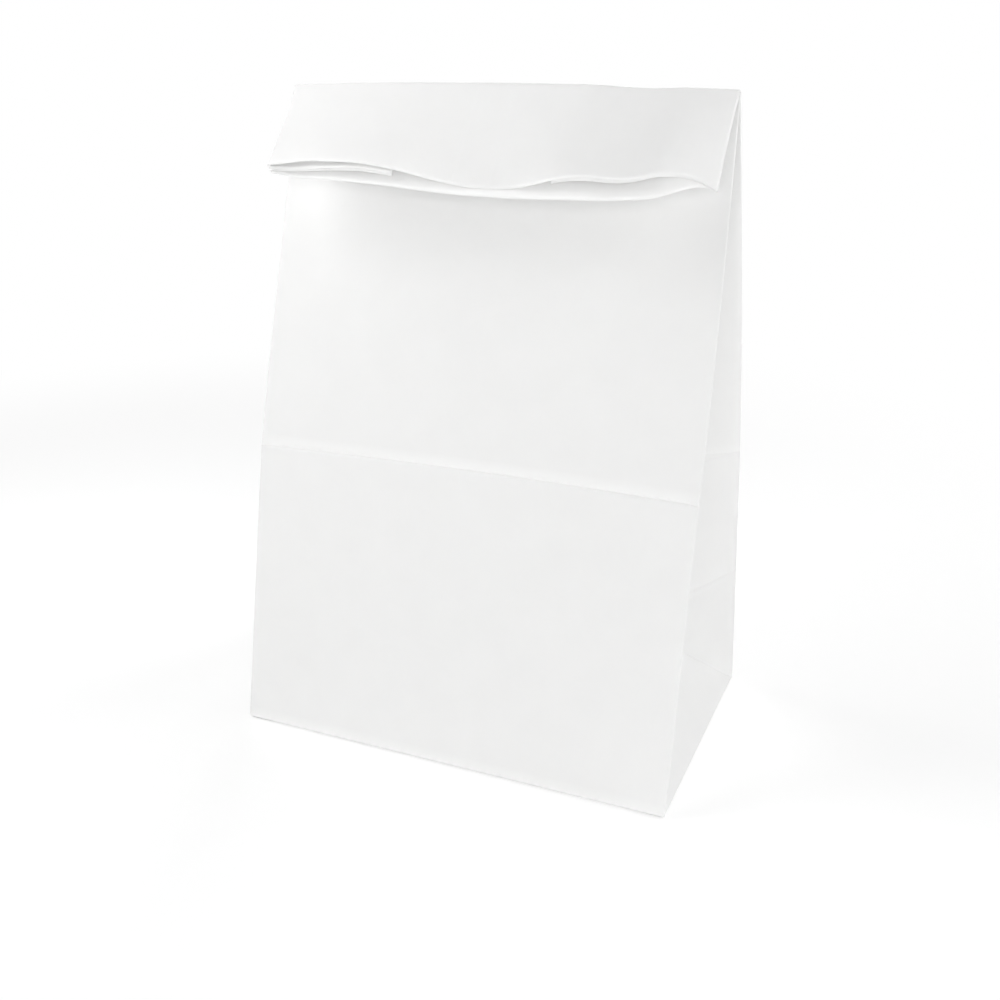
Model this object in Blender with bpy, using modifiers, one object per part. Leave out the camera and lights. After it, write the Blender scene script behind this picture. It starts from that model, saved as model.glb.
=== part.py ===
"""Paper lunch bag, standing, with its top turned down.

One sheet of paper, folded and glued: a front and a back panel, two side panels tucked inwards along
their middle, a block bottom closed by two lapped flaps, and a mouth turned forward over the front.
X runs across the front panel, -Y is the front, and the base rests on Z = 0.
"""
import math

import bmesh
import bpy

# Driving sizes, in metres

BAG_WIDTH = 0.150  # across the front panel
BAG_DEPTH = 0.093  # across a side panel
BAG_HEIGHT = 0.2083  # from the base to the highest place of the fold
PAPER = 0.0003  # thickness of the sheet
LAYER_GAP = 0.0003  # air between two layers that lie on each other
BOTTOM_RADIUS = 0.0015  # how softly the walls turn into the base

# The flattened bag lay with its bottom folded up, and the free edge pressed a line into every panel

PRESSED_LINE_MARGIN = 0.003  # the line lies this much further up than the bottom is deep
FRONT_LINE_INSET = 0.0198  # how far the front panel leans in by that line
BACK_LINE_INSET = 0.0176
PANEL_DISH = 0.0030  # how far the middle of a panel sits back between its side folds

# The back panel is where the sheet's two edges are glued over each other

SEAM_WIDTH = 0.0125
SEAM_RAMP = 0.0006  # width of the step at each edge of the seam

# Block bottom

BOTTOM_OVERLAP = 0.024  # how far the two bottom flaps lie over each other
FLAP_SETBACK = 0.0002  # from the end of the rounded bottom fold to a flap
LAP_GROOVE = 0.0010  # beside the outer flap's edge, where the inner flap bends down to the table

# Turned-down top

FOLD_RADIUS = 0.0006  # of the innermost layer
FOLD_Y = 0.0044  # the fold lies this far behind the middle of the base
FOLD_CREST = -0.45  # where the fold is highest, as a share of its half width
FOLD_CROWN = 0.0012  # how much lower its right end lies
TOP_NARROWING = 0.0027  # how much each side has pulled in by the fold
TURN_DOWN_LEFT = 0.0370  # length of the turned-down part at the left side
TURN_DOWN_RIGHT = 0.0403
HANG_ANGLE = math.radians(38.5)  # of its middle, from hanging straight down
LEFT_LIFT = math.radians(5.5)  # how much further out its ends stand
RIGHT_LIFT = math.radians(11.5)
LEFT_PULL = 0.0030  # how far its left end is drawn in by the mouth

# Mouth of the bag, at the end of the turned-down part

MOUTH_STEP = 0.0030  # the back panel ends this much sooner, having gone round the fold outside
MOUTH_CORNER_RISE = 0.0032  # the front panel's corners are drawn up to the back panel's
MOUTH_CORNER = 0.8  # where that begins, as a share of the half width
MOUTH_GAP_MIDDLE = 0.0009  # from the front panel to the back panel at the mouth
MOUTH_GAP_LEFT = 0.0047  # where the mouth gapes widest
MOUTH_GAP_RIGHT = 0.0036
MOUTH_DROP_LEFT = 0.0014  # how far the front panel falls away from the side panel there
WIDEST_LEFT = -0.60  # where the mouth gapes widest, as a share of the half width
WIDEST_RIGHT = 0.62
SHUT_RIGHT = 0.08  # where it has shut again towards the middle

# How finely the surface is divided

PANEL_STEPS = 10
GUSSET_STEPS = 3  # on each half of a side panel; its sloping folds run through these divisions
BOTTOM_FOLD_STEPS = 3
LINE_STEPS = 2  # from the side panel's apex to the pressed line
UPPER_STEPS = 7
FOLD_STEPS = 9
TURN_DOWN_STEPS = 5

# Sizes that follow

HALF_PAPER = PAPER / 2
PITCH = PAPER + LAYER_GAP  # from one layer to the next
CLOSED_GAP = 3 * PITCH  # front panel to back panel, with two layers of side panel between them
HALF_WIDTH = BAG_WIDTH / 2 - HALF_PAPER
HALF_DEPTH = BAG_DEPTH / 2 - HALF_PAPER
FOLD_HALF_WIDTH = HALF_WIDTH - TOP_NARROWING
PRESSED_LINE = BAG_DEPTH + PRESSED_LINE_MARGIN
FLAP_LAYERS = 2 * PAPER  # the two bottom flaps, one over the other
BASE_Z = FLAP_LAYERS + HALF_PAPER
AXIS_Z = BAG_HEIGHT - HALF_PAPER - CLOSED_GAP - FOLD_RADIUS
FRONT_LEAN = math.asin(FRONT_LINE_INSET / PRESSED_LINE)
BACK_LEAN = math.asin(BACK_LINE_INSET / PRESSED_LINE)


def smooth_step(start, end, value):
    share = min(1.0, max(0.0, (value - start) / (end - start)))
    return share * share * (3 - 2 * share)


def mix(first, second, share):
    return first + (second - first) * share


# Walls below the fold: a station holds the front and back panels' side folds as (y, z)

def lower_station(run):
    """Front and back side folds, this far up the paper from the base edge."""
    front = (-HALF_DEPTH + run * math.sin(FRONT_LEAN), BASE_Z + run * math.cos(FRONT_LEAN))
    back = (HALF_DEPTH - run * math.sin(BACK_LEAN), BASE_Z + run * math.cos(BACK_LEAN))
    return front, back


def upper_station(share):
    """The same between the pressed line, share 0, and where the fold begins, share 1."""
    front_line, back_line = lower_station(PRESSED_LINE)
    lean = math.atan2(FOLD_Y - (front_line[0] + back_line[0]) / 2, AXIS_Z - front_line[1])
    across = (math.cos(lean), -math.sin(lean))
    ends = []
    for line, radius in ((front_line, FOLD_RADIUS), (back_line, FOLD_RADIUS + CLOSED_GAP)):
        fold = (FOLD_Y + radius * across[0], AXIS_Z + radius * across[1])
        ends.append((mix(line[0], fold[0], share), mix(line[1], fold[1], share)))
    return ends[0], ends[1], lean


def apex_offset():
    """How far the point where a side panel's folds meet lies inwards and up, from flat triangles."""
    rises = []
    for lean in (FRONT_LEAN, BACK_LEAN):
        edge_y = -HALF_DEPTH + HALF_DEPTH * math.sin(lean)
        edge_z = HALF_DEPTH * math.cos(lean)
        rises.append((edge_y ** 2 + edge_z ** 2) / (2 * edge_z))
    rise = sum(rises) / len(rises)
    return math.sqrt(HALF_DEPTH ** 2 - rise ** 2), rise


APEX_IN, APEX_UP = apex_offset()
APEX_DROP = HALF_DEPTH * math.cos((FRONT_LEAN + BACK_LEAN) / 2) - APEX_UP


def low_gusset(run, share, lean):
    """Inward distance, depth from the panel and drop of a point on the side panel below its apex."""
    across = share * HALF_DEPTH
    if across > run:
        part = run / HALF_DEPTH
        return part * APEX_IN, across - run * math.sin(lean), part * APEX_UP - run * math.cos(lean)
    edge_z = HALF_DEPTH * math.cos(lean)
    return share * APEX_IN, across * (1 - math.sin(lean)), share * (APEX_UP - edge_z)


def high_gusset(gap, drop, share):
    """The same above the apex, where each half of the side panel is flat."""
    tuck = math.sqrt(HALF_DEPTH ** 2 - (gap / 2) ** 2 - drop ** 2)
    return share * tuck, share * gap / 2, -share * drop


# One level of the sheet, as (across, depth, drop) points: depth runs from the front panel backwards

def side_fold(half_width, closed):
    """The small turn from the front panel into the side panel, square when open and round when shut."""
    open_turn = ((-PITCH, 0.0), (-PITCH / 2, 0.134 * PITCH), (-0.134 * PITCH, PITCH / 2), (0.0, PITCH))
    shut_turn = (
        (-PITCH / 2, 0.0),
        (-0.067 * PITCH, PITCH / 4),
        (-0.067 * PITCH, 3 * PITCH / 4),
        (-PITCH / 2, PITCH),
    )
    turn = []
    for wide, tight in zip(open_turn, shut_turn):
        turn.append((half_width + mix(wide[0], tight[0], closed), mix(wide[1], tight[1], closed), 0.0))
    return turn


def half_side(half_width, gusset, closed):
    """From the front panel's end to the middle fold of the right side panel."""
    points = side_fold(half_width, closed)
    for step in range(1, GUSSET_STEPS + 1):
        share = step / GUSSET_STEPS
        inward, depth, drop = gusset(share)
        across = half_width - inward + closed * PITCH / 2 * (2 * share - 1)
        points.append((across, depth + PITCH * (1 - 1.5 * share), drop))
    inward, depth, drop = gusset(1.0)
    tip = half_width - inward + closed * 0.067 * PITCH
    points.append((tip, depth - mix(PITCH / 6, PITCH / 4, closed), drop))
    return points


def level(half_width, gap, front_gusset, back_gusset, closed, front_depth, back_depth):
    """All the way round, from the left end of the front panel."""
    front_side = half_side(half_width, front_gusset, closed)
    back_side = [
        (across, gap - depth, drop) for across, depth, drop in half_side(half_width, back_gusset, closed)
    ]
    right = front_side + back_side[::-1]
    left = [(-across, depth, drop) for across, depth, drop in right[::-1]]
    panel_end = front_side[0][0]
    points = []
    for step in range(1, PANEL_STEPS):
        across = mix(-panel_end, panel_end, step / PANEL_STEPS)
        points.append((across, front_depth(across), 0.0))
    points += right
    for across in back_panel_divisions(panel_end):
        points.append((across, gap + back_depth(across) + seam_rise(across), 0.0))
    return points + left


def back_panel_divisions(panel_end):
    """Places across the back panel, right to left, with the seam's two steps among them."""
    edge = SEAM_WIDTH / 2
    flat = panel_end - edge - SEAM_RAMP
    steps = PANEL_STEPS // 2
    right = [panel_end - flat * step / steps for step in range(1, steps + 1)] + [edge]
    return right + [-across for across in right[::-1]]


def seam_rise(across):
    """The outer edge of the sheet lies over the inner one and stands out by one thickness."""
    return PAPER * (1 - smooth_step(SEAM_WIDTH / 2, SEAM_WIDTH / 2 + SEAM_RAMP, abs(across)))


# The walls, level by level

def panel_dish(across, half_width, amount):
    return amount * PANEL_DISH * (1 - (across / half_width) ** 2)


def wall_points(front, back, half_width, gussets, closed, dish):
    """Places one level of the wall in the bag."""
    gap = math.dist(front, back)
    across_y = (back[0] - front[0]) / gap
    across_z = (back[1] - front[1]) / gap
    section = level(
        half_width,
        gap,
        gussets[0],
        gussets[1],
        closed,
        lambda across: panel_dish(across, half_width, dish),
        lambda across: -panel_dish(across, half_width, dish),
    )
    return [
        (across, front[0] + depth * across_y, front[1] + depth * across_z + drop)
        for across, depth, drop in section
    ]


def low_ring(run):
    front, back = lower_station(run)
    gussets = (
        lambda share: low_gusset(run, share, FRONT_LEAN),
        lambda share: low_gusset(run, share, BACK_LEAN),
    )
    closed = run / HALF_DEPTH
    return wall_points(front, back, HALF_WIDTH, gussets, closed, run / PRESSED_LINE)


def middle_ring(run):
    front, back = lower_station(run)
    gap = math.dist(front, back)

    def gusset(share):
        return high_gusset(gap, APEX_DROP, share)

    return wall_points(front, back, HALF_WIDTH, (gusset, gusset), 1.0, run / PRESSED_LINE)


def upper_ring(share):
    front, back, _ = upper_station(share)
    gap = math.dist(front, back)

    def gusset(part):
        return high_gusset(gap, APEX_DROP * (1 - share), part)

    half_width = HALF_WIDTH - TOP_NARROWING * share ** 1.5
    ring = wall_points(front, back, half_width, (gusset, gusset), 1.0, (1 - share) ** 2)
    return [(x, y, z + share ** 2 * fold_height(x)) for x, y, z in ring]


def bottom_fold_ring(turn):
    """The rounded fold from the base, turn 0, into the walls, turn 1."""
    angle = turn * math.pi / 2
    inset = BOTTOM_RADIUS * (1 - math.sin(angle))
    ring = low_ring(BOTTOM_RADIUS * (1 - math.cos(angle)))
    wide = 1 - inset / HALF_WIDTH
    deep = 1 - inset / HALF_DEPTH
    return [(x * wide, y * deep, z) for x, y, z in ring]


# The fold and the turned-down part

def fold_height(across):
    """Height of the fold against its highest place."""
    return -FOLD_CROWN * ((across / FOLD_HALF_WIDTH - FOLD_CREST) / (1 - FOLD_CREST)) ** 2


def gape(along, widest, shut):
    """1 where the mouth stands widest, 0 at its end and in the middle where it is shut."""
    if abs(along) < abs(widest):
        return 1 - smooth_step(widest, shut, along)
    return 1 - min(1.0, (abs(along) - abs(widest)) / (1 - abs(widest))) ** 2


def left_gape(across):
    along = across / FOLD_HALF_WIDTH
    return gape(along, WIDEST_LEFT, 0.0) if along < 0 else 0.0


def right_gape(across):
    along = across / FOLD_HALF_WIDTH
    return gape(along, WIDEST_RIGHT, SHUT_RIGHT) if along > 0 else 0.0


def front_mouth_depth(across):
    """Depth of the front panel's edge at the mouth."""
    return -MOUTH_DROP_LEFT * left_gape(across)


def back_mouth_depth(across):
    """Depth of the back panel's edge at the mouth."""
    closed = mix(MOUTH_GAP_MIDDLE, CLOSED_GAP, (abs(across) / FOLD_HALF_WIDTH) ** 2)
    left = (MOUTH_GAP_LEFT - MOUTH_DROP_LEFT - closed) * left_gape(across)
    right = (MOUTH_GAP_RIGHT - closed) * right_gape(across)
    return closed + left + right


def turn_down_length(across, depth):
    """Length of the sheet past the fold, shorter for the layers that go round it outside."""
    along = across / FOLD_HALF_WIDTH
    length = mix(TURN_DOWN_LEFT, TURN_DOWN_RIGHT, (along + 1) / 2) - FOLD_RADIUS - CLOSED_GAP
    corner = MOUTH_CORNER_RISE * smooth_step(MOUTH_CORNER, 1.0, abs(along))
    return length - mix(corner, MOUTH_STEP, min(1.0, max(0.0, depth / CLOSED_GAP)))


def hang_angle(across):
    """Angle of the turned-down part, from hanging straight down."""
    along = across / FOLD_HALF_WIDTH
    left = LEFT_LIFT * smooth_step(0.1, -0.7, along)
    right = RIGHT_LIFT * smooth_step(0.1, 1.0, along)
    return HANG_ANGLE + left + right


def top_ring(fold_share, down_share):
    """Fold share runs 0 to 1 round the fold, then down share runs 0 to 1 to the mouth."""
    lean = upper_station(1.0)[2]
    opened = down_share ** 1.5

    def gusset(share):
        return high_gusset(CLOSED_GAP, 0.0, share)

    section = level(
        FOLD_HALF_WIDTH,
        CLOSED_GAP,
        gusset,
        gusset,
        1.0,
        lambda across: opened * front_mouth_depth(across),
        lambda across: opened * (back_mouth_depth(across) - CLOSED_GAP),
    )
    ring = []
    for across, depth, _ in section:
        angle = mix(-lean, math.pi - hang_angle(across), fold_share)
        run = down_share * turn_down_length(across, depth)
        radius = FOLD_RADIUS + depth
        y = FOLD_Y + radius * math.cos(angle) - run * math.sin(angle)
        z = AXIS_Z + radius * math.sin(angle) + run * math.cos(angle) + fold_height(across)
        pull = LEFT_PULL * down_share * max(0.0, -across / FOLD_HALF_WIDTH) ** 2
        ring.append((across + pull, y, z))
    return ring


def all_rings():
    """Every level, from the base to the mouth, and how many lie below the side panels' apex."""
    rings = [bottom_fold_ring(step / BOTTOM_FOLD_STEPS) for step in range(BOTTOM_FOLD_STEPS + 1)]
    for step in range(1, GUSSET_STEPS + 1):
        rings.append(low_ring(HALF_DEPTH * step / GUSSET_STEPS))
    apex = len(rings) - 1
    for step in range(1, LINE_STEPS + 1):
        rings.append(middle_ring(mix(HALF_DEPTH, PRESSED_LINE, step / LINE_STEPS)))
    rings += [upper_ring(step / UPPER_STEPS) for step in range(1, UPPER_STEPS)]
    rings += [top_ring(step / FOLD_STEPS, 0.0) for step in range(FOLD_STEPS)]
    rings += [top_ring(1.0, step / TURN_DOWN_STEPS) for step in range(TURN_DOWN_STEPS + 1)]
    return rings, apex


def folded_sheet(name):
    """The bag's sheet as one open surface: the rings joined by faces, and the base closed."""
    rings, apex = all_rings()
    mesh = bpy.data.meshes.new(name)
    surface = bmesh.new()
    rows = [[surface.verts.new(point) for point in ring] for ring in rings]
    count = len(rows[0])
    right_start = PANEL_STEPS - 1
    side = 2 * (GUSSET_STEPS + 5)
    left_start = count - side
    for row in range(len(rows) - 1):
        low = rows[row]
        high = rows[row + 1]
        for column in range(count):
            after = (column + 1) % count
            corners = (low[column], low[after], high[after], high[column])
            place = column - (left_start if column >= left_start else right_start)
            if row >= apex or not 0 <= place < side - 1:
                surface.faces.new(corners)
            elif place < side // 2:
                surface.faces.new((corners[0], corners[1], corners[2]))
                surface.faces.new((corners[0], corners[2], corners[3]))
            else:
                surface.faces.new((corners[0], corners[1], corners[3]))
                surface.faces.new((corners[1], corners[2], corners[3]))
    surface.faces.new(rows[0][::-1])
    surface.to_mesh(mesh)
    surface.free()
    return bpy.data.objects.new(name, mesh)


# The block bottom's two flaps

def flap_outline(direction, past_middle):
    """A bottom flap: 45 degree ends, and a straight edge this far past the middle of the base."""
    hinge_x = BAG_WIDTH / 2 - BOTTOM_RADIUS - FLAP_SETBACK
    hinge_y = BAG_DEPTH / 2 - BOTTOM_RADIUS - FLAP_SETBACK
    end_x = hinge_x - hinge_y - past_middle
    outline = [(-hinge_x, hinge_y), (hinge_x, hinge_y), (end_x, -past_middle), (-end_x, -past_middle)]
    return [(x, direction * y) for x, y in outline]


def flap(name, direction, past_middle, underside, collection):
    """A bottom flap from its underside up to the middle of the base sheet."""
    curve = bpy.data.curves.new(name, "CURVE")
    curve.dimensions = "2D"
    curve.fill_mode = "BOTH"
    curve.extrude = (BASE_Z - underside) / 2
    outline = flap_outline(direction, past_middle)
    spline = curve.splines.new("POLY")
    spline.points.add(len(outline) - 1)
    for point, (x, y) in zip(spline.points, outline):
        point.co = (x, y, 0.0, 1.0)
    spline.use_cyclic_u = True
    drawn = bpy.data.objects.new(name + "_outline", curve)
    drawn.location.z = (BASE_Z + underside) / 2
    collection.objects.link(drawn)
    bpy.context.view_layer.update()
    evaluated = drawn.evaluated_get(bpy.context.evaluated_depsgraph_get())
    mesh = bpy.data.meshes.new_from_object(evaluated)
    welded = bmesh.new()
    welded.from_mesh(mesh)
    bmesh.ops.remove_doubles(welded, verts=welded.verts, dist=1e-6)
    bmesh.ops.recalc_face_normals(welded, faces=welded.faces)
    welded.to_mesh(mesh)
    welded.free()
    plate = bpy.data.objects.new(name, mesh)
    plate.matrix_world = drawn.matrix_world
    collection.objects.link(plate)
    bpy.data.objects.remove(drawn)
    plate.hide_render = True
    plate.display_type = "WIRE"
    return plate


def white_paper():
    material = bpy.data.materials.new("white_paper")
    material.use_nodes = True
    shader = material.node_tree.nodes["Principled BSDF"]
    shader.inputs["Base Color"].default_value = (0.83, 0.83, 0.82, 1.0)
    shader.inputs["Roughness"].default_value = 0.75
    shader.inputs["Metallic"].default_value = 0.0
    return material


def build():
    for found in list(bpy.data.objects):
        bpy.data.objects.remove(found)
    parts = bpy.data.collections.new("paper_lunch_bag")
    helpers = bpy.data.collections.new("bottom_flap_shapes")
    for collection in (parts, helpers):
        bpy.context.scene.collection.children.link(collection)

    bag = folded_sheet("paper_bag")
    parts.objects.link(bag)
    bag.data.materials.append(white_paper())

    thickness = bag.modifiers.new("paper_thickness", "SOLIDIFY")
    thickness.thickness = PAPER
    thickness.offset = 0.0
    thickness.use_even_offset = True
    thickness.use_quality_normals = True

    lap = BOTTOM_OVERLAP / 2
    flaps = (
        ("inner_flap_under_lap", 1, lap, PAPER),
        ("inner_flap_on_table", 1, -lap - LAP_GROOVE, 0.0),
        ("outer_flap", -1, lap, 0.0),
    )
    for name, direction, past_middle, underside in flaps:
        plate = flap(name, direction, past_middle, underside, helpers)
        glued = bag.modifiers.new(name, "BOOLEAN")
        glued.operation = "UNION"
        glued.object = plate


build()
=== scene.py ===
"""White paper lunch bag, dressed: fine folded sheet, kraft paper, floor, light and camera."""
import math

import bmesh
import bpy
from mathutils import Matrix, Vector, noise


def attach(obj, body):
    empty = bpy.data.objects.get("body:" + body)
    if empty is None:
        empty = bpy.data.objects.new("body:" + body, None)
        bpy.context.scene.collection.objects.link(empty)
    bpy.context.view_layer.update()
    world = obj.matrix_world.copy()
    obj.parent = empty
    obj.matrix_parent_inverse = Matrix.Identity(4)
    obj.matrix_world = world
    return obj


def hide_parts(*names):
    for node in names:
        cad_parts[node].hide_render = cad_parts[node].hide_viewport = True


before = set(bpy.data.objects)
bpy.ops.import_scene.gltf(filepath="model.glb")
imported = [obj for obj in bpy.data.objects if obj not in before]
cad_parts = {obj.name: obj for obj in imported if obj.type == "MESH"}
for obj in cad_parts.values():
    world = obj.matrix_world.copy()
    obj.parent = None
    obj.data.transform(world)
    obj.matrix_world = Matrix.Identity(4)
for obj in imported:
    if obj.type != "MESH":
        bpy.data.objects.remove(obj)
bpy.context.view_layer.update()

MM = 0.001

# Sizes of the standing bag, as in the solids

BAG_WIDTH = 150.0 * MM
BAG_DEPTH = 93.0 * MM
BAG_HEIGHT = 208.3 * MM
BOTTOM_RADIUS = 0.8 * MM
PRESSED_LINE_MARGIN = 3.0 * MM
FRONT_LINE_INSET = 19.8 * MM
BACK_LINE_INSET = 17.6 * MM
PANEL_DISH = 3.0 * MM
SEAM_WIDTH = 12.5 * MM
BOTTOM_OVERLAP = 24.0 * MM
FLAP_SETBACK = (0.4 * MM, 0.2 * MM)  # of a bottom flap from the rounded fold, across and along
FLAP_CUTS = 12
FOLD_RADIUS = 0.8 * MM
FOLD_Y = 4.4 * MM
FOLD_CREST = -0.45  # where the fold is highest; places along it are shares of its half width
FOLD_CROWN = 1.2 * MM  # how much lower its right end lies
FOLD_DENT = 0.6 * MM
FOLD_DENT_AT = (0.60, 0.25)  # middle and reach of the dent
FOLD_RISE = 0.5 * MM  # of its middle over its ends
FOLD_RISE_ENDS = (1.1, 0.4)
TOP_NARROWING = 2.7 * MM
NARROWING_POWER = 1.5  # how late the sides pull in on their way up

# The sheet itself, thinner than in the solids

PAPER = 0.14 * MM
PITCH = 0.42 * MM  # from one layer to the next
CLOSED_GAP = 3 * PITCH  # front panel to back panel, with two layers of side panel between them
TURN_SAG = 0.134  # 1 - cos 30 degrees, a third of the way round a layer's quarter turn
SEAM_STEP = 0.05 * MM
SEAM_RAMP = 0.25 * MM
OUTER_FLAP_Z = 0.08 * MM
INNER_FLAP_Z = 0.26 * MM
BASE_Z = 0.5 * MM
SHEET_INSET = 0.15 * MM  # from the solids' outer faces to the middle of their sheet
HALF_WIDTH = BAG_WIDTH / 2 - SHEET_INSET
HALF_DEPTH = BAG_DEPTH / 2 - SHEET_INSET
PRESSED_LINE = BAG_DEPTH + PRESSED_LINE_MARGIN
FRONT_LEAN = math.asin(FRONT_LINE_INSET / PRESSED_LINE)
BACK_LEAN = math.asin(BACK_LINE_INSET / PRESSED_LINE)
FOLD_CLEARANCE = 0.2 * MM  # room above the fold for its rise
AXIS_Z = BAG_HEIGHT - CLOSED_GAP - FOLD_RADIUS - FOLD_CLEARANCE
FOLD_HALF_WIDTH = HALF_WIDTH - TOP_NARROWING

# Turned-down part: lengths past the fold, and angles from hanging straight down

FRONT_LENGTH = (35.4 * MM, 38.8 * MM)  # at the left and right ends
BACK_LENGTH = (31.8 * MM, 34.8 * MM)
FRONT_HANG = math.radians(38.5)
FRONT_LIFT = (math.radians(6.0), math.radians(9.5))  # how much further out its ends stand
FRONT_LIFT_ENDS = ((0.07, -0.8), (0.1, 1.0))  # from where to where along the fold
BACK_HANG = math.radians(37.0)
BACK_LIFT = (math.radians(11.5), math.radians(14.5))
BACK_LIFT_LEFT = (0.05, -0.6)
BACK_LIFT_RIGHT = ((0.80, 0.12, 0.55), (0.27, 0.62, 0.82), (-0.15, 0.80, 1.0))  # share, from, to
LEFT_PULL = 4.8 * MM  # how far the left end is drawn in by the mouth
LEFT_PULL_POWER = 0.6
RIGHT_PULL = 0.9 * MM  # how far the right end spreads
CORNER_RISE = (1.4 * MM, 11.0 * MM)  # how much shorter the front sheet is at its ends
CORNERS = ((-0.8, -1.0), (0.76, 1.0))
BACK_CORNER_RISE = (-2.0 * MM, 5.9 * MM)
BACK_CORNERS = ((-0.75, -1.0), (0.72, 0.96))
BACK_MIDDLE_DROP = 1.4 * MM
BACK_MIDDLE = (0.02, 0.40)  # middle and reach
RIGHT_PINCH = 0.5  # how much closer the layers lie at the right end of the mouth
RIGHT_PINCH_END = (0.45, 0.80)

# Where the side panels' two layers lie in the gaping mouth, from the front sheet, 0, to the back sheet, 1

LEFT_LAYERS = (0.42, 0.66)  # the first layer at the left end, and further in
LEFT_LAYERS_END = (-0.9, -0.45)
LEFT_LAYER_STEP = 0.08
RIGHT_LAYERS = (0.94, 0.97)
GAPE_ONSET = (0.0, 0.5)  # how far down from the fold the layers part

END_CREASE = (3.0 * MM, 18.0 * MM)  # how far the right end's crease lies from that end, at fold and mouth
END_CREASE_SOFT = 1.8 * MM
END_CURL_POWER = 0.5  # how soon below the fold the end curls
END_SLOPE = (0.12, 0.66)  # at the crease, and added by the end's edge

# Pressed lines: steep below, drawn out above. The front's is a groove, the back's stands out

LINE_UP = 2.9 * MM
LINE_DOWN = 0.9 * MM
LINE_DEPTH = 0.6 * MM
SIDE_LINE = HALF_DEPTH + 2.7 * MM  # the side panel's own cross fold
SIDE_LINE_SHARE = 0.8  # of the pressed lines' depth
SIDE_LINE_ENDS = ((0.0, 0.03), (1.0, 0.95))  # shares of a half panel over which a line fades in
SIDE_BULGE = 1.1 * MM  # how far the paper stands out along it
SIDE_BULGE_REACH = 28 * MM  # above it
SIDE_FACING = 0.8  # how much of a side panel's unevenness lies across

# A mark that the back seam pressed into the front panel, just below its line

SEAM_MARK = 0.16 * MM
SEAM_MARK_X = -1.0 * MM
SEAM_MARK_HALF = 0.9 * MM
SEAM_MARK_REACH = (5.5 * MM, 4.0 * MM)
SEAM_MARK_COLUMNS = (-0.0250, -0.0190, -0.0130, -0.0070, 0.0060)  # shares of the half width

# Unevenness of the sheet: length and height of its waves, and a seed for each face

LONG_WAVES = (34 * MM, 0.22 * MM)
SHORT_WAVES = (9 * MM, 0.025 * MM)
SIDE_WAVES = (22 * MM, 0.18 * MM)
WAVE_ACROSS = 46 * MM  # half a side panel, for its waves
TOP_WAVES = (30 * MM, 0.35 * MM)
PINCH_WAVES = (4.5 * MM, 0.26 * MM)
PINCH_MARKS_X = (52 * MM, 26 * MM)  # middle and reach, across and down from the fold
PINCH_MARKS_RUN = (5 * MM, 16 * MM)
FRONT_SEEDS = (3.1, 7.7)
BACK_SEEDS = (12.3, 15.9)
SIDE_SEED = 20.0
TOP_SEED = 31.0
PINCH_SEED = 44.0
BASE_CALM = 6 * MM  # the walls are plain at the base, and again as they near the fold
TOP_CALM = (0.6, 1.0)

# Looks of the paper

LINE_Z = BASE_Z + PRESSED_LINE * math.cos(FRONT_LEAN)
LINE_PAINTED_LIGHT = 4.0 * MM  # how far up from the pressed line its band of painted light reaches
# how far up from the bottom fold its band of painted light reaches
BOTTOM_PAINTED_LIGHT = 4.5 * MM
KRAFT_DARK = (0.825, 0.825, 0.820, 1.0)
KRAFT_LIGHT = (0.855, 0.855, 0.850, 1.0)
# painted light: paper colour of the lighter bands above the pressed line and the bottom fold, where light and
# the floor's bounce would fall
KRAFT_PAINTED_LIGHT = (0.91, 0.91, 0.905, 1.0)
PAPER_GLOW = 0.4  # how much light goes into the sheet and through it
GLOW_DEPTH = 4 * PAPER
CRISP_ANGLE = math.radians(20)  # bends sharper than this aren't shaded smooth

# Light and floor

WORLD_LIGHT = 0.03
FLOOR_HALF = 3.0  # metres
FLOOR_PAINT = 0.90  # as the bag sees it
FLOOR_SHADE = 0.55  # as the camera sees it, before it is lifted to white
FLOOR_LIT = 0.90  # how bright the lamps make it
SHADOW_REACH = (0.25, 0.60)  # metres from the bag over which its shadow fades out

# Square lamps that face the bag: name, side in metres, power in watts, place

LAMPS = (
    ("front_lamp", 0.6, 8.9, (0.76, -1.17, 0.28)),
    ("low_front_lamp", 0.4, 4.0, (0.14, -1.40, 0.14)),
    ("left_front_lamp", 0.3, 0.5, (-0.50, -0.45, 0.24)),
    ("left_top_lamp", 0.3, 1.15, (-0.30, -0.10, 0.40)),
    ("near_right_lamp", 0.3, 0.32, (0.35, -0.15, 0.35)),
    ("right_back_lamp", 0.9, 10.0, (0.88, 0.62, 1.00)),
    ("back_lamp", 0.9, 8.0, (-0.12, 1.31, 0.58)),
)

# The camera that the photograph was taken with, as fitted to the bag's corners and folds

CAMERA_AZIMUTH = math.radians(23.351)
CAMERA_ELEVATION = math.radians(20.731)
CAMERA_ROLL = math.radians(-0.207)
CAMERA_PLACE = (0.14419, -0.33152, 0.21308)
FOCAL_PIXELS = 1144.5
FRAME_PIXELS = 1000.0
SENSOR_WIDTH = 36.0
CLIP_START = 0.01

# How finely the surface is divided

PANEL_COLUMNS = 60
BACK_COLUMNS = (26, 34)  # left and right of the seam
SEAM_MARGIN = 1.2 * MM  # from the seam's edge to the last even column
SEAM_BESIDE = 0.5 * MM  # and to the columns just outside it and just inside it
SEAM_WITHIN = 0.4 * MM
BOTTOM_FOLD_ROWS = 4
WALL_ROWS = 12
UPPER_ROWS = 34
FOLD_ROWS = 12
TURN_DOWN_ROWS = 28
CROSS_FOLD_ROWS = (0.6, 1.2, 1.8, 2.2, 2.5, 2.7, 2.9, 3.3, 4.0, 5.2)  # mm above the apex
LINE_ROWS_START = 2.5 * MM  # below the pressed line, where its closer rows take over
LINE_ROWS_BELOW = (1.4, 0.9, 0.6, 0.35, 0.15, 0.0)  # mm below the pressed line, and above it
LINE_ROWS_ABOVE = (0.2, 0.5, 0.9, 1.4, 2.0, 2.8, 4.0, 6.0)
NEVER_ZERO = 1e-6  # the least amount that is divided by

# Columns across half a side panel, closer at its middle fold

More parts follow.
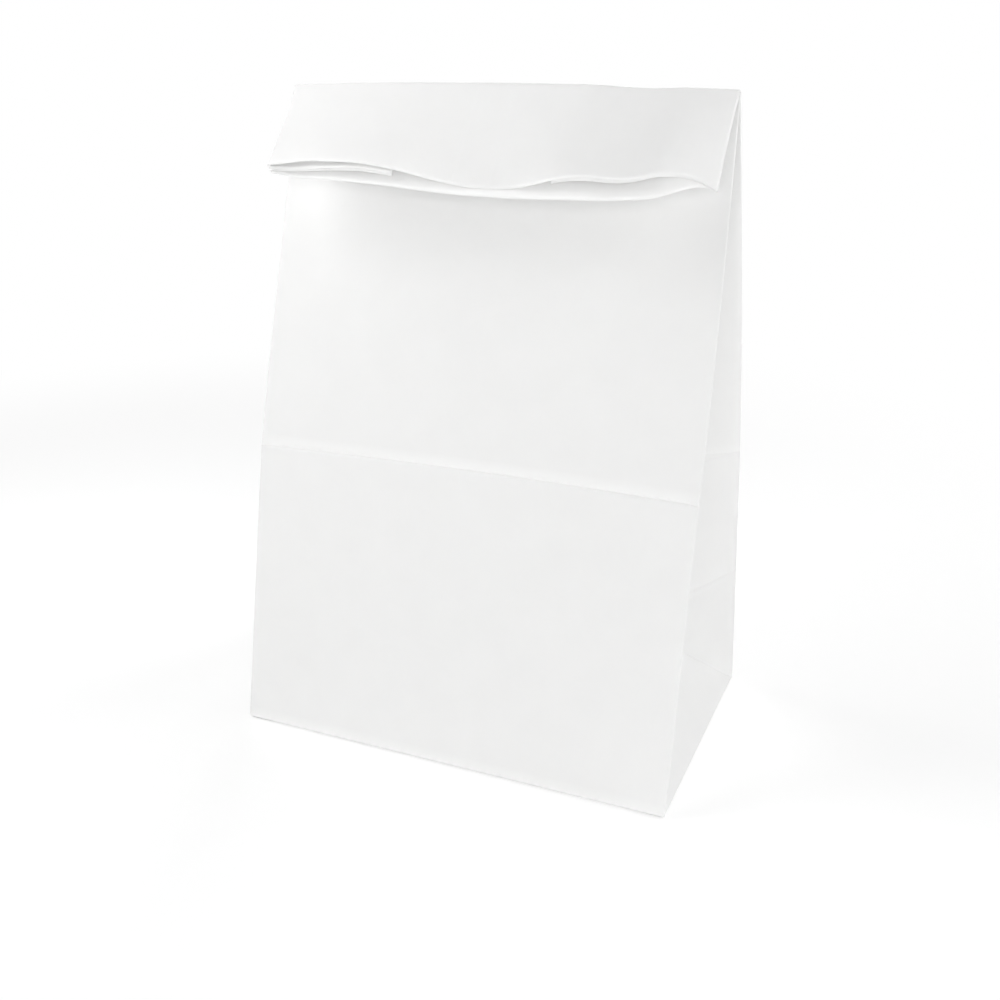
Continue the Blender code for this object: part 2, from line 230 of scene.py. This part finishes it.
GUSSET_SHARES = [step / 25 for step in range(24)] + [0.942, 0.960, 0.974, 0.985, 0.993, 1.0]


def mix(first, second, share):
    return first + (second - first) * share


def smooth_step(start, end, value):
    share = min(1.0, max(0.0, (value - start) / (end - start)))
    return share * share * (3 - 2 * share)


def pressed(distance):
    """How far the sheet is off its plane at this distance above a pressed line."""
    if distance >= 0:
        return LINE_DEPTH * max(0.0, 1 - distance / LINE_UP) ** 2
    return LINE_DEPTH * max(0.0, 1 + distance / LINE_DOWN) ** 2


def waviness(x, run, seed, length, height):
    """Gentle unevenness of the sheet."""
    return height * noise.noise(Vector((x / length, run / length, seed)))


# Stations up the walls, and the folded side panels

def lower_station(run):
    front = (-HALF_DEPTH + run * math.sin(FRONT_LEAN), BASE_Z + run * math.cos(FRONT_LEAN))
    back = (HALF_DEPTH - run * math.sin(BACK_LEAN), BASE_Z + run * math.cos(BACK_LEAN))
    return front, back


def upper_station(share):
    front_line, back_line = lower_station(PRESSED_LINE)
    lean = math.atan2(FOLD_Y - (front_line[0] + back_line[0]) / 2, AXIS_Z - front_line[1])
    ends = []
    for line, radius in ((front_line, FOLD_RADIUS), (back_line, FOLD_RADIUS + CLOSED_GAP)):
        fold_y = FOLD_Y + radius * math.cos(lean)
        fold_z = AXIS_Z - radius * math.sin(lean)
        ends.append((mix(line[0], fold_y, share), mix(line[1], fold_z, share)))
    return ends[0], ends[1], lean


def apex_offset():
    rises = []
    for lean in (FRONT_LEAN, BACK_LEAN):
        edge_y = -HALF_DEPTH + HALF_DEPTH * math.sin(lean)
        edge_z = HALF_DEPTH * math.cos(lean)
        rises.append((edge_y ** 2 + edge_z ** 2) / (2 * edge_z))
    rise = sum(rises) / len(rises)
    return math.sqrt(HALF_DEPTH ** 2 - rise ** 2), rise


APEX_IN, APEX_UP = apex_offset()
APEX_DROP = HALF_DEPTH * math.cos((FRONT_LEAN + BACK_LEAN) / 2) - APEX_UP


def low_gusset(run, share, lean):
    """Inward distance, depth and drop on a side panel below its apex."""
    across = share * HALF_DEPTH
    if across > run:
        part = run / HALF_DEPTH
        return part * APEX_IN, across - run * math.sin(lean), part * APEX_UP - run * math.cos(lean)
    edge_z = HALF_DEPTH * math.cos(lean)
    return share * APEX_IN, across * (1 - math.sin(lean)), share * (APEX_UP - edge_z)


def high_gusset(gap, drop, share):
    tuck = math.sqrt(HALF_DEPTH ** 2 - (gap / 2) ** 2 - drop ** 2)
    return share * tuck, share * gap / 2, -share * drop


# One level of the sheet: (across, depth, drop, panel, share) all the way round

def side_fold(half_width, closed):
    """The corner where a panel turns into a side panel: a quarter turn at the base, a half turn above."""
    open_turn = (
        (-PITCH, 0.0),
        (-PITCH / 2, TURN_SAG * PITCH),
        (-TURN_SAG * PITCH, PITCH / 2),
        (0.0, PITCH),
    )
    shut_turn = (
        (-PITCH / 2, 0.0),
        (-TURN_SAG / 2 * PITCH, PITCH / 4),
        (-TURN_SAG / 2 * PITCH, 3 * PITCH / 4),
        (-PITCH / 2, PITCH),
    )
    turn = []
    for wide, tight in zip(open_turn, shut_turn):
        turn.append((half_width + mix(wide[0], tight[0], closed), mix(wide[1], tight[1], closed), 0.0, 0.0))
    return turn


def half_side(half_width, gusset, closed):
    points = side_fold(half_width, closed)
    for share in GUSSET_SHARES[1:]:
        inward, depth, drop = gusset(share)
        across = half_width - inward + closed * PITCH / 2 * (2 * share - 1)
        points.append((across, depth + PITCH * (1 - 1.5 * share), drop, share))
    inward, depth, drop = gusset(1.0)
    tip = half_width - inward + closed * TURN_SAG / 2 * PITCH
    points.append((tip, depth - mix(PITCH / 6, PITCH / 4, closed), drop, 1.0))
    return points


def front_columns(end):
    """Across the front panel, with more columns where the back seam pressed its mark."""
    places = [mix(-end, end, step / PANEL_COLUMNS) for step in range(1, PANEL_COLUMNS)]
    places += [end * mark for mark in SEAM_MARK_COLUMNS]
    return sorted(places)


def back_columns(end):
    edge = SEAM_WIDTH / 2
    inner = [edge + SEAM_BESIDE, edge + SEAM_RAMP, edge, edge - SEAM_WITHIN, edge / 2]
    sides = []
    for columns in BACK_COLUMNS:
        sides.append([mix(end, edge + SEAM_MARGIN, step / columns) for step in range(1, columns + 1)] + inner)
    left, right = sides
    return right + [0.0] + [-x for x in left[::-1]]


def seam_rise(x):
    return SEAM_STEP * (1 - smooth_step(SEAM_WIDTH / 2, SEAM_WIDTH / 2 + SEAM_RAMP, abs(x)))


def level(half_width, gap, front_gusset, back_gusset, closed):
    front_side = [(x, d, z, "front_half", s) for x, d, z, s in half_side(half_width, front_gusset, closed)]
    back_side = [(x, gap - d, z, "back_half", s) for x, d, z, s in half_side(half_width, back_gusset, closed)]
    right = front_side + back_side[::-1]
    left = [(-x, d, z, panel, s) for x, d, z, panel, s in right[::-1]]
    end = front_side[0][0]
    points = [(x, 0.0, 0.0, "front", x / end) for x in front_columns(end)]
    points += right
    points += [(x, gap + seam_rise(x), 0.0, "back", x / end) for x in back_columns(end)]
    return points + left


# Unevenness of the walls, outwards from the bag

def front_relief(x, run, dish):
    out = -dish * PANEL_DISH * (1 - (x / HALF_WIDTH) ** 2)
    out -= pressed(run - PRESSED_LINE)
    below = PRESSED_LINE - run
    if 0 < below < SEAM_MARK_REACH[0]:
        mark = max(0.0, 1 - abs(x - SEAM_MARK_X) / SEAM_MARK_HALF)
        out += SEAM_MARK * mark * smooth_step(*SEAM_MARK_REACH, below)
    out += waviness(x, run, FRONT_SEEDS[0], *LONG_WAVES)
    return out + waviness(x, run, FRONT_SEEDS[1], *SHORT_WAVES)


def back_relief(x, run, dish):
    out = -dish * PANEL_DISH * (1 - (x / HALF_WIDTH) ** 2)
    out += pressed(run - PRESSED_LINE)
    out += waviness(x, run, BACK_SEEDS[0], *LONG_WAVES)
    return out + waviness(x, run, BACK_SEEDS[1], *SHORT_WAVES)


def gusset_relief(share, run, panel, side):
    free = math.sin(math.pi * min(1.0, share))
    out = pressed(run - PRESSED_LINE)
    bulge = 0.0
    if panel == "back_half":
        out += SIDE_LINE_SHARE * pressed(run - SIDE_LINE)
        past = run - SIDE_LINE
        room = SIDE_LINE - share * HALF_DEPTH
        bulge = max(0.0, 1 - past / SIDE_BULGE_REACH) ** 2 if past > 0 else max(0.0, 1 + past / room)
    out *= smooth_step(*SIDE_LINE_ENDS[0], share) * smooth_step(*SIDE_LINE_ENDS[1], share)
    out += SIDE_BULGE * free * bulge
    return out + free * waviness(share * WAVE_ACROSS, run, SIDE_SEED + side, *SIDE_WAVES)


def place(front, back, section, run, dish, amount):
    """Turns one level's section into points of the bag."""
    gap = math.dist(front, back)
    unit = ((back[0] - front[0]) / gap, (back[1] - front[1]) / gap)
    ring = []
    for x, depth, drop, panel, share in section:
        if panel == "front":
            depth -= amount * front_relief(x, run, dish / max(amount, NEVER_ZERO))
        elif panel == "back":
            depth += amount * back_relief(x, run, dish / max(amount, NEVER_ZERO))
        else:
            side = 1 if x > 0 else -1
            out = amount * gusset_relief(share, run, panel, side)
            x += side * out * SIDE_FACING
        ring.append((x, front[0] + depth * unit[0], front[1] + depth * unit[1] + drop))
    return ring


def low_ring(run):
    front, back = lower_station(run)
    gap = math.dist(front, back)
    gussets = (
        lambda share: low_gusset(run, share, FRONT_LEAN),
        lambda share: low_gusset(run, share, BACK_LEAN),
    )
    section = level(HALF_WIDTH, gap, gussets[0], gussets[1], run / HALF_DEPTH)
    amount = smooth_step(0.0, BASE_CALM, run)
    return place(front, back, section, run, amount * run / PRESSED_LINE, amount)


def middle_ring(run):
    front, back = lower_station(run)
    gap = math.dist(front, back)

    def gusset(share):
        return high_gusset(gap, APEX_DROP, share)

    section = level(HALF_WIDTH, gap, gusset, gusset, 1.0)
    return place(front, back, section, run, run / PRESSED_LINE, 1.0)


def upper_ring(share):
    front, back, _ = upper_station(share)
    gap = math.dist(front, back)
    whole = math.dist(lower_station(PRESSED_LINE)[0], upper_station(1.0)[0])
    run = PRESSED_LINE + share * whole

    def gusset(part):
        return high_gusset(gap, APEX_DROP * (1 - share), part)

    section = level(HALF_WIDTH - TOP_NARROWING * share ** NARROWING_POWER, gap, gusset, gusset, 1.0)
    amount = 1 - smooth_step(*TOP_CALM, share)
    ring = place(front, back, section, run, amount * (1 - share) ** 2, amount)
    return [(x, y, z + share ** 2 * fold_height(x)) for x, y, z in ring]


def bottom_fold_ring(turn):
    angle = turn * math.pi / 2
    inset = BOTTOM_RADIUS * (1 - math.sin(angle))
    ring = low_ring(BOTTOM_RADIUS * (1 - math.cos(angle)))
    wide = 1 - inset / HALF_WIDTH
    deep = 1 - inset / HALF_DEPTH
    return [(x * wide, y * deep, z) for x, y, z in ring]


# The fold and the turned-down part

def bump(middle, reach, value):
    return smooth_step(reach, 0.0, abs(value - middle))


def fold_height(x):
    along = x / FOLD_HALF_WIDTH
    drop = FOLD_CROWN * ((along - FOLD_CREST) / (1 - FOLD_CREST)) ** 2
    rise = FOLD_RISE * smooth_step(*FOLD_RISE_ENDS, abs(along))
    return rise - drop - FOLD_DENT * bump(*FOLD_DENT_AT, along)


def front_hang(along):
    left = FRONT_LIFT[0] * smooth_step(*FRONT_LIFT_ENDS[0], along)
    right = FRONT_LIFT[1] * smooth_step(*FRONT_LIFT_ENDS[1], along)
    return FRONT_HANG + left + right


def back_hang(along):
    left = BACK_LIFT[0] * smooth_step(*BACK_LIFT_LEFT, along)
    right = sum(share * smooth_step(start, end, along) for share, start, end in BACK_LIFT_RIGHT)
    return BACK_HANG + left + BACK_LIFT[1] * right


def front_length(along):
    left = CORNER_RISE[0] * smooth_step(*CORNERS[0], along)
    right = CORNER_RISE[1] * smooth_step(*CORNERS[1], along)
    return mix(*FRONT_LENGTH, (along + 1) / 2) - (left + right)


def back_length(along):
    length = mix(*BACK_LENGTH, (along + 1) / 2)
    left = BACK_CORNER_RISE[0] * smooth_step(*BACK_CORNERS[0], along)
    right = BACK_CORNER_RISE[1] * smooth_step(*BACK_CORNERS[1], along)
    return length - left - right + BACK_MIDDLE_DROP * bump(*BACK_MIDDLE, along)


def layer_at_mouth(layer, along):
    """Where a layer lies between front, 0, and back, 1, once the mouth gapes."""
    if along < 0:
        first = mix(*LEFT_LAYERS, smooth_step(*LEFT_LAYERS_END, along))
        second = first + LEFT_LAYER_STEP
    else:
        first, second = RIGHT_LAYERS
    stops = ((0.0, 0.0), (1 / 3, first), (2 / 3, second), (1.0, 1.0))
    for (low, low_out), (high, high_out) in zip(stops, stops[1:]):
        if layer <= high:
            return mix(low_out, high_out, max(0.0, layer - low) / (high - low))
    return 1.0


def end_curl(x, down_share):
    """The right end curls down, more and more, past a crease from the fold's end to the mouth."""
    width = mix(*END_CREASE, down_share)
    past = x - (FOLD_HALF_WIDTH - width)
    if past < 0:
        return 0.0
    bent = min(past, END_CREASE_SOFT) ** 2 / (2 * END_CREASE_SOFT) + max(0.0, past - END_CREASE_SOFT)
    return -END_SLOPE[0] * bent - END_SLOPE[1] * past ** 2 / (2 * width)


def crinkle(x, run):
    """Small dents where the right part of the fold was pinched."""
    near = bump(*PINCH_MARKS_X, x) * bump(*PINCH_MARKS_RUN, run)
    return near * waviness(x, run, PINCH_SEED, *PINCH_WAVES)


def top_ring(fold_share, down_share):
    lean = upper_station(1.0)[2]

    def gusset(share):
        return high_gusset(CLOSED_GAP, 0.0, share)

    ring = []
    for x, depth, _, panel, _ in level(FOLD_HALF_WIDTH, CLOSED_GAP, gusset, gusset, 1.0):
        along = max(-1.0, min(1.0, x / FOLD_HALF_WIDTH))
        layer = max(0.0, min(1.0, depth / CLOSED_GAP))
        gaping = mix(layer, layer_at_mouth(layer, along), smooth_step(*GAPE_ONSET, down_share))
        hang = mix(front_hang(along), back_hang(along), gaping)
        angle = mix(-lean, math.pi - hang, fold_share)
        run = down_share * mix(front_length(along), back_length(along), gaping)
        radius = FOLD_RADIUS + depth * (1 - RIGHT_PINCH * down_share * smooth_step(*RIGHT_PINCH_END, along))
        radius += end_curl(x, down_share) * down_share ** END_CURL_POWER
        radius += down_share * waviness(x, run, TOP_SEED, *TOP_WAVES)
        radius += crinkle(x, run)
        pull = LEFT_PULL * down_share ** LEFT_PULL_POWER if along < 0 else -RIGHT_PULL * down_share
        y = FOLD_Y + radius * math.cos(angle) - run * math.sin(angle)
        z = AXIS_Z + radius * math.sin(angle) + run * math.cos(angle) + fold_height(x)
        ring.append((x + pull * along ** 2, y, z))
    return ring


def all_rings():
    rings = [bottom_fold_ring(step / BOTTOM_FOLD_ROWS) for step in range(BOTTOM_FOLD_ROWS + 1)]
    rings += [low_ring(HALF_DEPTH * share) for share in GUSSET_SHARES[1:]]
    apex = len(rings) - 1
    runs = [HALF_DEPTH + step * MM for step in CROSS_FOLD_ROWS]
    low = runs[-1]
    high = PRESSED_LINE - LINE_ROWS_START
    runs += [mix(low, high, step / WALL_ROWS) for step in range(1, WALL_ROWS + 1)]
    runs += [PRESSED_LINE - step * MM for step in LINE_ROWS_BELOW]
    rings += [middle_ring(run) for run in runs]
    whole = math.dist(lower_station(PRESSED_LINE)[0], upper_station(1.0)[0])
    shares = [step * MM / whole for step in LINE_ROWS_ABOVE]
    last = shares[-1]
    shares += [mix(last, 1.0, step / UPPER_ROWS) for step in range(1, UPPER_ROWS)]
    rings += [upper_ring(share) for share in shares]
    rings += [top_ring(step / FOLD_ROWS, 0.0) for step in range(FOLD_ROWS)]
    rings += [top_ring(1.0, step / TURN_DOWN_ROWS) for step in range(TURN_DOWN_ROWS + 1)]
    return rings, apex


def folded_sheet(name):
    rings, apex = all_rings()
    surface = bmesh.new()
    rows = [[surface.verts.new(point) for point in ring] for ring in rings]
    count = len(rows[0])
    right_start = len(front_columns(1.0))
    side = 2 * (len(GUSSET_SHARES) + 4)
    left_start = count - side
    for row in range(len(rows) - 1):
        low = rows[row]
        high = rows[row + 1]
        for column in range(count):
            after = (column + 1) % count
            corners = (low[column], low[after], high[after], high[column])
            step = column - (left_start if column >= left_start else right_start)
            if row >= apex or not 0 <= step < side - 1:
                surface.faces.new(corners)
            elif step < side // 2:
                surface.faces.new((corners[0], corners[1], corners[2]))
                surface.faces.new((corners[0], corners[2], corners[3]))
            else:
                surface.faces.new((corners[0], corners[1], corners[3]))
                surface.faces.new((corners[1], corners[2], corners[3]))
    surface.faces.new(rows[0][::-1])
    mesh = bpy.data.meshes.new(name)
    surface.to_mesh(mesh)
    surface.free()
    return new_piece(name, mesh)


def new_piece(name, mesh):
    piece = bpy.data.objects.new(name, mesh)
    bpy.context.scene.collection.objects.link(piece)
    return piece


def bottom_flap(name, direction, z):
    """A trapezoid of paper glued under the base, hinged at the front or back fold."""
    hinge_x = BAG_WIDTH / 2 - BOTTOM_RADIUS - FLAP_SETBACK[0]
    hinge_y = BAG_DEPTH / 2 - BOTTOM_RADIUS - FLAP_SETBACK[1]
    reach = hinge_y + BOTTOM_OVERLAP / 2
    end_x = hinge_x - reach
    end_y = -BOTTOM_OVERLAP / 2
    outline = [(-hinge_x, hinge_y), (hinge_x, hinge_y), (end_x, end_y), (-end_x, end_y)]
    flat = bmesh.new()
    corners = [flat.verts.new((x, direction * y, z)) for x, y in outline]
    flat.faces.new(corners if direction < 0 else corners[::-1])
    bmesh.ops.subdivide_edges(flat, edges=flat.edges, cuts=FLAP_CUTS, use_grid_fill=True)
    mesh = bpy.data.meshes.new(name)
    flat.to_mesh(mesh)
    flat.free()
    return new_piece(name, mesh)


# Materials

def grey(value):
    return (value, value, value, 1.0)


def painted_light_band(nodes, links, place_node):
    """Painted light: lighter paper in bands above the pressed line and the bottom fold, mostly on the front
    and back panels.
    """
    height = nodes.new("ShaderNodeSeparateXYZ")
    links.new(place_node.outputs["Object"], height.inputs["Vector"])
    bands = []
    for start, reach in ((LINE_Z, LINE_PAINTED_LIGHT), (0.0, BOTTOM_PAINTED_LIGHT)):
        band = nodes.new("ShaderNodeMapRange")
        band.inputs["From Min"].default_value = start
        band.inputs["From Max"].default_value = start + reach
        band.inputs["To Min"].default_value = 1.0
        band.inputs["To Max"].default_value = 0.0
        links.new(height.outputs["Z"], band.inputs["Value"])
        above = nodes.new("ShaderNodeMath")
        above.operation = "GREATER_THAN"
        above.inputs[1].default_value = start
        links.new(height.outputs["Z"], above.inputs[0])
        both = nodes.new("ShaderNodeMath")
        both.operation = "MULTIPLY"
        links.new(band.outputs["Result"], both.inputs[0])
        links.new(above.outputs["Value"], both.inputs[1])
        bands.append(both)
    total = nodes.new("ShaderNodeMath")
    total.operation = "MAXIMUM"
    links.new(bands[0].outputs["Value"], total.inputs[0])
    links.new(bands[1].outputs["Value"], total.inputs[1])
    facing = nodes.new("ShaderNodeSeparateXYZ")
    links.new(place_node.outputs["Normal"], facing.inputs["Vector"])
    sideways = nodes.new("ShaderNodeMath")
    sideways.operation = "ABSOLUTE"
    links.new(facing.outputs["X"], sideways.inputs[0])
    ahead = nodes.new("ShaderNodeMath")
    ahead.operation = "SUBTRACT"
    ahead.inputs[0].default_value = 1.0
    links.new(sideways.outputs["Value"], ahead.inputs[1])
    share = nodes.new("ShaderNodeMath")
    share.operation = "MULTIPLY"
    links.new(total.outputs["Value"], share.inputs[0])
    links.new(ahead.outputs["Value"], share.inputs[1])
    return share.outputs["Value"]


def white_kraft():
    """Bleached kraft: matte, faintly mottled, with short fibres that catch the light, and painted light in
    lighter bands above the pressed line and the bottom fold.
    """
    material = bpy.data.materials.new("white_kraft_paper")
    material.use_nodes = True
    nodes = material.node_tree.nodes
    links = material.node_tree.links
    shader = nodes["Principled BSDF"]
    shader.inputs["Roughness"].default_value = 0.72
    shader.inputs["Specular IOR Level"].default_value = 0.25
    shader.inputs["Subsurface Weight"].default_value = PAPER_GLOW
    shader.inputs["Subsurface Radius"].default_value = (1.0, 1.0, 1.0)
    shader.inputs["Subsurface Scale"].default_value = GLOW_DEPTH
    place_node = nodes.new("ShaderNodeTexCoord")

    mottle = nodes.new("ShaderNodeTexNoise")
    mottle.inputs["Scale"].default_value = 90.0
    mottle.inputs["Detail"].default_value = 5.0
    links.new(place_node.outputs["Object"], mottle.inputs["Vector"])
    tone = nodes.new("ShaderNodeMix")
    tone.data_type = "RGBA"
    tone.inputs["A"].default_value = KRAFT_DARK
    tone.inputs["B"].default_value = KRAFT_LIGHT
    links.new(mottle.outputs["Fac"], tone.inputs["Factor"])
    # painted light: the lighter bands above the pressed line and the bottom fold
    painted_light_tone = nodes.new("ShaderNodeMix")
    painted_light_tone.data_type = "RGBA"
    painted_light_tone.inputs["B"].default_value = KRAFT_PAINTED_LIGHT
    links.new(painted_light_band(nodes, links, place_node), painted_light_tone.inputs["Factor"])
    links.new(tone.outputs["Result"], painted_light_tone.inputs["A"])
    links.new(painted_light_tone.outputs["Result"], shader.inputs["Base Color"])

    fibres = nodes.new("ShaderNodeTexNoise")
    fibres.inputs["Scale"].default_value = 1400.0
    fibres.inputs["Detail"].default_value = 4.0
    fibres.inputs["Distortion"].default_value = 1.2
    links.new(place_node.outputs["Object"], fibres.inputs["Vector"])
    raised = nodes.new("ShaderNodeBump")
    raised.inputs["Strength"].default_value = 0.12
    raised.inputs["Distance"].default_value = 0.06 * MM
    links.new(fibres.outputs["Fac"], raised.inputs["Height"])
    links.new(raised.outputs["Normal"], shader.inputs["Normal"])
    return material


def seen_ray(nodes, links):
    """1 for rays that show the background: from the camera, from a reflection or through glass."""
    path = nodes.new("ShaderNodeLightPath")
    reflected = nodes.new("ShaderNodeMath")
    reflected.operation = "MAXIMUM"
    links.new(path.outputs["Is Glossy Ray"], reflected.inputs[0])
    links.new(path.outputs["Is Transmission Ray"], reflected.inputs[1])
    seen = nodes.new("ShaderNodeMath")
    seen.operation = "MAXIMUM"
    links.new(path.outputs["Is Camera Ray"], seen.inputs[0])
    links.new(reflected.outputs["Value"], seen.inputs[1])
    return seen.outputs["Value"]


def pale_floor():
    """A white floor. What the camera sees of it is lifted to white, and keeps the bag's shadow."""
    material = bpy.data.materials.new("pale_floor")
    material.use_nodes = True
    nodes = material.node_tree.nodes
    links = material.node_tree.links
    paint = nodes["Principled BSDF"]
    paint.inputs["Base Color"].default_value = grey(FLOOR_PAINT)
    paint.inputs["Roughness"].default_value = 0.9
    paint.inputs["Specular IOR Level"].default_value = 0.1

    shade = nodes.new("ShaderNodeBsdfDiffuse")
    shade.inputs["Color"].default_value = grey(FLOOR_SHADE)
    lift = nodes.new("ShaderNodeEmission")
    lift.inputs["Strength"].default_value = 1.0 - FLOOR_LIT * FLOOR_SHADE
    near = nodes.new("ShaderNodeAddShader")
    links.new(shade.outputs["BSDF"], near.inputs[0])
    links.new(lift.outputs["Emission"], near.inputs[1])

    far = nodes.new("ShaderNodeEmission")
    place_node = nodes.new("ShaderNodeTexCoord")
    distance = nodes.new("ShaderNodeVectorMath")
    distance.operation = "LENGTH"
    links.new(place_node.outputs["Object"], distance.inputs[0])
    fade = nodes.new("ShaderNodeMapRange")
    fade.interpolation_type = "SMOOTHSTEP"
    fade.inputs["From Min"].default_value = SHADOW_REACH[0]
    fade.inputs["From Max"].default_value = SHADOW_REACH[1]
    links.new(distance.outputs["Value"], fade.inputs["Value"])
    seen = nodes.new("ShaderNodeMixShader")
    links.new(fade.outputs["Result"], seen.inputs["Fac"])
    links.new(near.outputs["Shader"], seen.inputs[1])
    links.new(far.outputs["Emission"], seen.inputs[2])

    choice = nodes.new("ShaderNodeMixShader")
    links.new(seen_ray(nodes, links), choice.inputs["Fac"])
    links.new(paint.outputs["BSDF"], choice.inputs[1])
    links.new(seen.outputs["Shader"], choice.inputs[2])
    links.new(choice.outputs["Shader"], nodes["Material Output"].inputs["Surface"])
    return material


def finish_paper(piece, material):
    piece.data.materials.append(material)
    thickness = piece.modifiers.new("paper_thickness", "SOLIDIFY")
    thickness.thickness = PAPER
    thickness.offset = 0.0
    piece.data.shade_smooth()
    piece.data.set_sharp_from_angle(angle=CRISP_ANGLE)
    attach(piece, "root")


def floor():
    mesh = bpy.data.meshes.new("floor")
    flat = bmesh.new()
    bmesh.ops.create_grid(flat, x_segments=1, y_segments=1, size=FLOOR_HALF)
    flat.to_mesh(mesh)
    flat.free()
    piece = new_piece("floor", mesh)
    piece.data.materials.append(pale_floor())


# Lamps and camera

def soft_lamp(name, size, energy, position):
    data = bpy.data.lights.new(name, "AREA")
    data.size = size
    data.energy = energy
    lamp = bpy.data.objects.new(name, data)
    lamp.location = position
    away = Vector(position) - Vector((0.0, 0.0, BAG_HEIGHT / 2))
    lamp.rotation_euler = away.to_track_quat("Z", "Y").to_euler()
    bpy.context.scene.collection.objects.link(lamp)


def studio_light():
    for name, size, energy, position in LAMPS:
        soft_lamp(name, size, energy, position)
    world = bpy.data.worlds.new("studio")
    bpy.context.scene.world = world
    world.use_nodes = True
    nodes = world.node_tree.nodes
    links = world.node_tree.links
    soft = nodes["Background"]
    soft.inputs["Color"].default_value = grey(1.0)
    soft.inputs["Strength"].default_value = WORLD_LIGHT
    seen = nodes.new("ShaderNodeBackground")
    seen.inputs["Color"].default_value = grey(1.0)
    seen.inputs["Strength"].default_value = 1.0
    choice = nodes.new("ShaderNodeMixShader")
    links.new(seen_ray(nodes, links), choice.inputs["Fac"])
    links.new(soft.outputs["Background"], choice.inputs[1])
    links.new(seen.outputs["Background"], choice.inputs[2])
    links.new(choice.outputs["Shader"], nodes["World Output"].inputs["Surface"])


def photo_camera():
    ahead = Vector((
        -math.sin(CAMERA_AZIMUTH) * math.cos(CAMERA_ELEVATION),
        math.cos(CAMERA_AZIMUTH) * math.cos(CAMERA_ELEVATION),
        -math.sin(CAMERA_ELEVATION),
    ))
    level_right = ahead.cross(Vector((0, 0, 1))).normalized()
    level_up = level_right.cross(ahead)
    right = math.cos(CAMERA_ROLL) * level_right + math.sin(CAMERA_ROLL) * level_up
    up = math.cos(CAMERA_ROLL) * level_up - math.sin(CAMERA_ROLL) * level_right
    data = bpy.data.cameras.new("photo_camera")
    data.sensor_width = SENSOR_WIDTH
    data.lens = FOCAL_PIXELS * SENSOR_WIDTH / FRAME_PIXELS
    data.clip_start = CLIP_START
    camera = bpy.data.objects.new("photo_camera", data)
    turn = Matrix((right, up, -ahead)).transposed().to_4x4()
    camera.matrix_world = Matrix.Translation(CAMERA_PLACE) @ turn
    bpy.context.scene.collection.objects.link(camera)
    bpy.context.scene.camera = camera


def build():
    paper = white_kraft()
    bag = folded_sheet("folded_paper")
    finish_paper(bag, paper)
    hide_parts("paper_bag")
    finish_paper(bottom_flap("outer_bottom_flap", -1, OUTER_FLAP_Z), paper)
    finish_paper(bottom_flap("inner_bottom_flap", 1, INNER_FLAP_Z), paper)
    floor()
    studio_light()
    photo_camera()
    bpy.context.scene.view_settings.view_transform = "Standard"


build()
